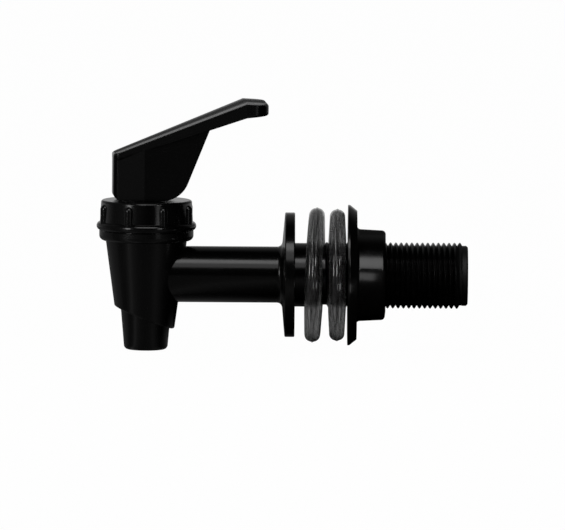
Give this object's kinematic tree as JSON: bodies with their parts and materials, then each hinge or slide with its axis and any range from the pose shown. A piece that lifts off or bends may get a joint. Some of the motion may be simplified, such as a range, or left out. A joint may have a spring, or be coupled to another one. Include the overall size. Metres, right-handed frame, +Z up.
{
  "type": "push-lever dispenser tap",
  "caption": "Black plastic push-lever tap for a drinks dispenser, with a ribbed bonnet, conical barrel, wall flange, threaded shank, silicone washers and a flange nut.",
  "frame": {"origin": "on the shank's axis at the flange's wall side", "axes": "+X along the shank towards its threaded end, +Z up, the outlet points to -Z"},
  "size_m": [0.0934, 0.0352, 0.0626],
  "materials": {
    "black_plastic": "moulded black plastic, satin",
    "stainless_steel": "drawn stainless wire",
    "silicone": "translucent smoky silicone"
  },
  "bodies": {
    "body": {"tap_body": "black_plastic", "bonnet": "black_plastic", "spring": "stainless_steel", "front_washer": "silicone"},
    "seat": {"seat_cup": "silicone"},
    "stem": {"stem": "black_plastic", "hinge_pin": "stainless_steel"},
    "lever": {"lever_handle": "black_plastic"},
    "clamp": {"rear_washer": "silicone"},
    "nut": {"mounting_nut": "black_plastic"}
  },
  "joints": [
    {"name": "seat_lift", "type": "slide", "parent": "body", "child": "seat", "axis": [0, 0, 1], "range_m": [0, 0.00236], "deforming": ["spring", "seat_cup"]},
    {"name": "lever_swivel", "type": "hinge", "parent": "seat", "child": "stem", "pos_m": [-0.03735, 0, 0.0187], "axis": [0, 0, 1], "continuous": true},
    {"name": "lever_press", "type": "hinge", "parent": "stem", "child": "lever", "pos_m": [-0.03735, 0, 0.0224], "axis": [-0.0698, 0.9976, 0], "range_deg": [0, 30], "stiffness_Nm_per_rad": 0.03, "springref_deg": -68.75},
    {"name": "clamp_travel", "type": "slide", "parent": "body", "child": "clamp", "axis": [1, 0, 0], "range_m": [-0.00033, 0.01872]},
    {"name": "nut_turn", "type": "hinge", "parent": "clamp", "child": "nut", "pos_m": [0.0183, 0, 0], "axis": [1, 0, 0], "range_deg": [-90, 5040]}
  ],
  "couplings": [
    {"joint": "seat_lift", "follows": "lever_press", "m_per_rad": 0.0045},
    {"joint": "nut_turn", "follows": "clamp_travel", "rad_per_m": 4699.5}
  ]
}
